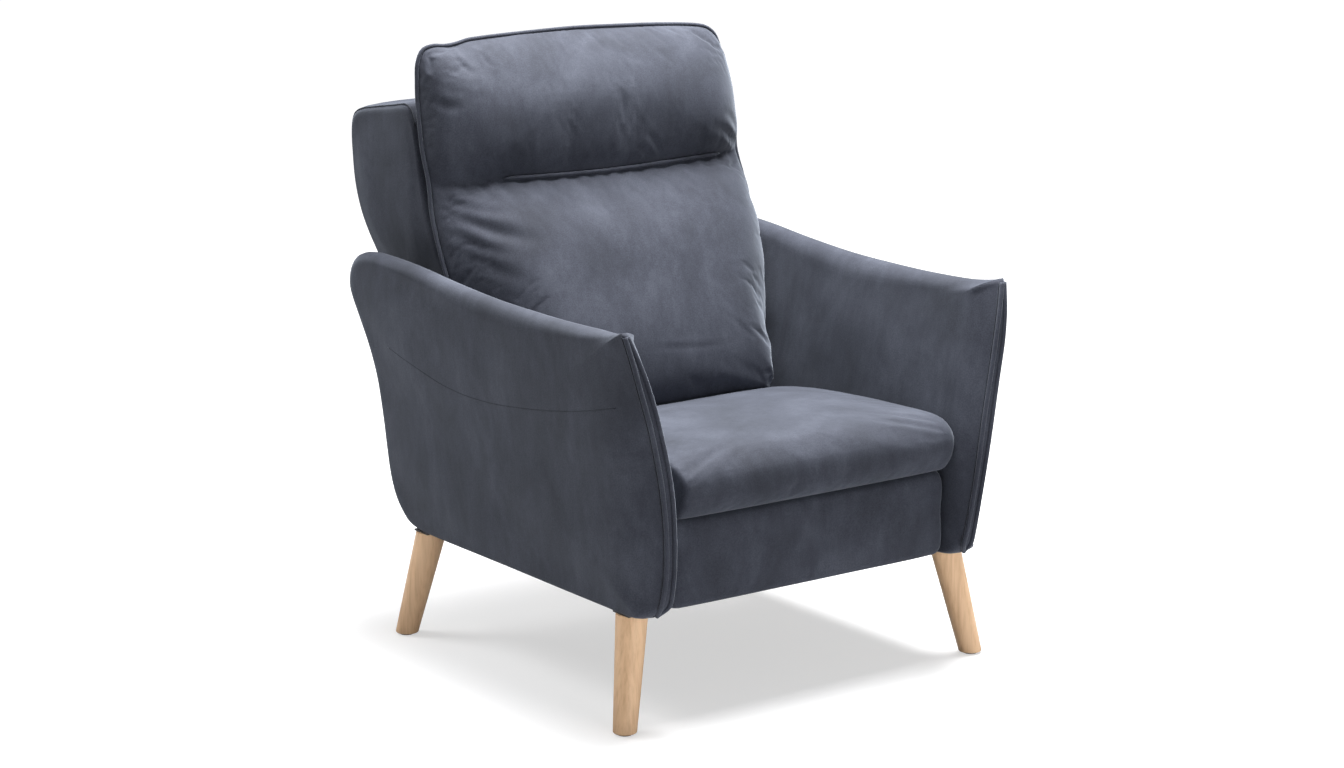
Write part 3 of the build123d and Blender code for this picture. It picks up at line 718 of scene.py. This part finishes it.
def fold_depth(x, z):
    """How deep the folds are at a place, each with a slight ridge beside it."""
    total = np.zeros(len(x))
    for x0, z0, x1, z1, width, depth in FOLDS:
        run = np.array((x1 - x0, z1 - z0))
        length = np.linalg.norm(run)
        run /= length
        along = ((x - x0) * run[0] + (z - z0) * run[1]) / length
        off = (x - x0) * -run[1] + (z - z0) * run[0] + 0.006 * np.sin(along * 3.0)
        window = ease(along, -0.05, 0.30) * (1 - ease(along, 0.40, 1.10))
        total += depth * window * np.exp(-(off / width) ** 2)
        total -= 0.5 * depth * window * np.exp(-((off - 1.9 * width) / width) ** 2)
    return total


def seam_line(x):
    """Height of the sewn line across the back cushion."""
    return SEAM_Z - 0.004 * np.cos(x * 9.0) + 0.003 * x - 0.004 * (1 - ease(x, -0.24, -0.20))


def cushion_front_y(x, z, depth):
    """Front of the back cushion: two padded channels with the sewn line between them."""
    swell = (1 - (1 - np.clip(depth / 0.125, 0, 1)) ** 2.1) ** 0.62
    low = (1 - ease(z, 0.41, 0.60)) * ease(depth, 0, 0.006) * ease(0.285 - np.abs(x), 0, 0.06)
    swell = 1 - (1 - swell) * (1 - low)
    y = CUSHION_SIDE(z) - CUSHION_FRONT(z) * swell
    gap = z - seam_line(x)
    y += 0.013 * np.exp(-(gap / 0.042) ** 2) * swell
    y += 0.009 * np.exp(-(gap / 0.010) ** 2) * np.clip(swell * 1.4, 0, 1)
    return y


def cushion_creases(p, normals):
    """Folds and slight unevenness of the front, none at the back."""
    x, z = p[:, 0], p[:, 2]
    facing = ease(-normals[:, 1], 0.05, 0.45)
    gap = z - seam_line(x)
    amount = fold_depth(x, z) + 0.0012 * ripple(p, 22.0, 5)
    amount += 0.0016 * np.exp(-(gap / 0.020) ** 2) * np.sin(x * 150 + 2 * np.sin(x * 23)) * (gap < 0)
    return amount * facing


def cushion_outline():
    """Outline seen from the front, with its small irregularities: a peaked corner and a wavy edge."""
    mirrored = [(-x, z) for x, z in CUSHION_HALF[::-1]]
    loop = smooth_curve([(0, 0.402)] + CUSHION_HALF + [(0, 1.048)] + mirrored, 420)
    x, z = loop[:, 0].copy(), loop[:, 1].copy()
    corner = np.exp(-((x + 0.318) / 0.026) ** 2) * ease(z, 0.96, 1.02)
    loop[:, 0] -= 0.003 * corner
    loop[:, 1] += 0.011 * corner - 0.005 * np.exp(-((x + 0.255) / 0.020) ** 2) * ease(z, 1.02, 1.035)
    loop[:, 0] += 0.0009 * np.sin(z * 75) * ease(x, 0.25, 0.32) * ease(z, 0.55, 0.65)
    return loop


def make_back_cushion(material):
    """Cushion with a piped edge and a sewn line below the head."""
    depths = [0, 0.0015, 0.004, 0.008, 0.013, 0.019, 0.026, 0.034, 0.043, 0.053, 0.064, 0.076, 0.09,
              0.105, 0.12]
    rings = inward(cushion_outline(), np.array(CUSHION_CENTRE), depths, np.linspace(0.95, 0.03, 26))
    front, rear = [], []
    for flat, depth in rings:
        x, z = flat[:, 0], flat[:, 1]
        front.append(np.stack([x, cushion_front_y(x, z, depth), z], 1))
        back = CUSHION_SIDE(z) + 0.032 * (1 - (1 - np.clip(depth / 0.05, 0, 1)) ** 2) ** 0.6
        rear.append(np.stack([x, back, z], 1))
    piece = skin("back_cushion_cover", front[::-1] + rear[1:], material, "backrest")
    edge = front[0]

    def pinned(p):
        """Held along the welt, along the sewn line and over the rear."""
        nearest = np.full(len(p), np.inf)
        for q in edge[::2]:
            nearest = np.minimum(nearest, np.linalg.norm(p - q, axis=1))
        hold = 1 - ease(nearest, 0.004, 0.012)
        on_front = p[:, 1] < CUSHION_SIDE(p[:, 2]) - 0.01
        sewn = 1 - ease(np.abs(p[:, 2] - seam_line(p[:, 0])), 0.004, 0.010)
        rear_side = ease(p[:, 1] - CUSHION_SIDE(p[:, 2]), 0.018, 0.028)
        return np.maximum.reduce([hold, sewn * on_front, rear_side])

    puff(piece, pressure=2.2, furthest=0.010, pinned=pinned, spare=0.006)
    crease(piece, cushion_creases)
    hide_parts("back_cushion")
    away = edge - (CUSHION_CENTRE[0], 0, CUSHION_CENTRE[1])
    away[:, 1] = 0
    away /= np.linalg.norm(away, axis=1)[:, None]
    welt = smooth_curve((edge + 0.0022 * away)[::4], 360)
    piping("back_cushion_welt", welt, CUSHION_WELT_RADIUS, material, "backrest", closed=True)
    count = 90
    xs = np.linspace(-0.205, 0.262, count)
    starts = [(x, -0.3, z) for x, z in zip(xs, seam_line(xs) + 0.002)]
    line = surface_hits(piece, starts, (0, 1, 0), 0.0042)
    from_end = np.minimum(np.arange(count), np.arange(count)[::-1])
    radii = CUSHION_SEAM_RADIUS * ease(from_end, -3, 4)[:len(line)]
    piping("back_cushion_seam", line, radii, material, "backrest")


# ------------------------------------------------------------------ seat cushion

# Outline of the seat cushion from the side, as (y, z): up the front, back along the top, along the base
SEAT_SIDE = [(-0.345, 0.3425), (-0.357, 0.349), (-0.368, 0.364), (-0.3745, 0.385), (-0.3735, 0.403),
             (-0.363, 0.418), (-0.340, 0.430), (-0.300, 0.435), (-0.214, 0.437), (-0.130, 0.435),
             (-0.057, 0.430), (0.020, 0.421), (0.090, 0.408), (0.130, 0.398), (0.146, 0.385),
             (0.148, 0.360), (0.140, 0.343), (0.05, 0.3405), (-0.10, 0.3405), (-0.25, 0.3405)]
SEAT_HALF = 0.289
SOFT_RADIUS, BOXED_RADIUS = 0.026, 0.009


def make_seat_cushion(material):
    """One section carried across, with a soft end on the sitter's left and a boxed one on the right."""
    loop = smooth_curve(SEAT_SIDE, 300)
    centre = np.array((-0.11, 0.388))
    outward = (loop - centre) / np.linalg.norm(loop - centre, axis=1)[:, None]
    depths = [0, 0.0015, 0.004, 0.008, 0.013, 0.019, 0.026]
    rings = inward(loop, centre, depths, [0.8, 0.6, 0.4, 0.2, 0.06])
    soft, boxed = [], []
    front = ease(-loop[:, 0], 0.22, 0.34)
    ends = ((soft, SOFT_RADIUS, 0.290 + 0.010 * front), (boxed, BOXED_RADIUS, -0.2885 + 0.013 * front))
    for flat, depth in rings:
        for rows, radius, end in ends:
            rounded = radius * (1 - np.sqrt(1 - (1 - np.clip(depth / radius, 0, 1)) ** 2))
            rows.append(np.stack([end - np.sign(end) * rounded, flat[:, 0], flat[:, 1]], 1))
    upper = ease(outward[:, 1], 0.0, 0.35)
    across = []
    for t in np.linspace(1, 0, 46)[1:-1]:
        p = boxed[0] + (soft[0] - boxed[0]) * t
        share = 2 * t - 1
        crown = 1 - abs(share) ** 2.6
        p[:, 2] += 0.010 * crown * upper
        p[:, 1] -= 0.004 * crown * (1 - ease(loop[:, 0], -0.36, -0.30))
        across.append(p)
    piece = skin("seat_cushion_cover", soft[::-1] + across + boxed, material, "seat_carriage")

    def pinned(p):
        """Held along the base, at both ends and at the rear."""
        low = 1 - ease(p[:, 2], 0.342, 0.350)
        sides = ease(np.abs(p[:, 0]), SEAT_HALF - 0.026, SEAT_HALF - 0.010)
        rear = ease(p[:, 1], 0.10, 0.14)
        return np.maximum.reduce([low, sides * 0.9, rear])

    puff(piece, pressure=1.4, furthest=0.004, pinned=pinned, spare=0.003)
    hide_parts("seat_cushion")


# ------------------------------------------------------------------ footrest pad

# Outline of the panel from the side, as (y, z): up the front, over the top, down the rear
FOOTREST_SIDE = [(-0.3530, 0.212), (-0.3545, 0.240), (-0.3550, 0.270), (-0.3545, 0.300), (-0.3530, 0.322),
                 (-0.3480, 0.336), (-0.3380, 0.342), (-0.3250, 0.3415), (-0.3120, 0.338), (-0.3040, 0.330),
                 (-0.3020, 0.315), (-0.3020, 0.270), (-0.3020, 0.210), (-0.3040, 0.199), (-0.3120, 0.194),
                 (-0.3300, 0.193), (-0.3450, 0.1945), (-0.3510, 0.201)]
FOOTREST_HALF = 0.285
# Small puckers under the top edge, as (x, half-width)
PUCKERS = [(0.02, 0.016), (0.10, 0.02)]


def make_footrest(material):
    """Upholstered panel: one section carried across, with soft ends."""
    loop = smooth_curve(FOOTREST_SIDE, 200)
    centre = np.array((-0.327, 0.270))
    depths = [0, 0.0012, 0.003, 0.006, 0.010, 0.014, 0.019]
    side_rings = []
    for flat, depth in inward(loop, centre, depths, [0.7, 0.4, 0.15]):
        bend = ease(-flat[:, 0], 0.318, 0.350)
        radius = 0.006 + 0.012 * bend
        x = FOOTREST_HALF - radius * (1 - np.sqrt(1 - (1 - np.clip(depth / radius, 0, 1)) ** 2))
        side_rings.append(np.stack([x, flat[:, 0], flat[:, 1]], 1))
    across = []
    for t in np.linspace(1, -1, 72)[1:-1]:
        p = side_rings[0].copy()
        p[:, 0] *= t
        near = ease(-p[:, 1], 0.335, 0.350)
        p[:, 1] -= near * (0.0035 * (1 - abs(t) ** 8) + 0.0010 * ripple(p, 30.0, 31))
        top = near * np.exp(-((p[:, 2] - 0.322) / 0.010) ** 2)
        for x, width in PUCKERS:
            p[:, 1] += top * 0.0016 * np.exp(-((p[:, 0] - x) / width) ** 2)
        across.append(p)
    mirrored = [p * (-1, 1, 1) for p in side_rings]
    piece = skin("footrest_cover", side_rings[::-1] + across + mirrored, material, "footrest")
    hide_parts("footrest_pad")


# ------------------------------------------------------------------ carried-over CAD nodes

def dress_frame(materials):
    """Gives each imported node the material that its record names."""
    slots = {part["node"]: part["material_slot"] for part in frame["record"]["subparts"]}
    for node, piece in frame["nodes"].items():
        material = materials[slots[node]]
        if not piece.material_slots:
            piece.data.materials.append(material)
        for slot in piece.material_slots:
            slot.material = material


make_camera()
make_studio()
materials = make_materials()
dress_frame(materials)
# The second material is the darker cloth that paints shade into the grooves and seams.
cloth, seam_shade = materials["upholstery"], materials["seam_shade"]
for sign in (1, -1):
    make_arm(sign, cloth, seam_shade)
make_shell(cloth, seam_shade)
make_back_cushion(cloth)
make_seat_cushion(cloth)
make_footrest(cloth)
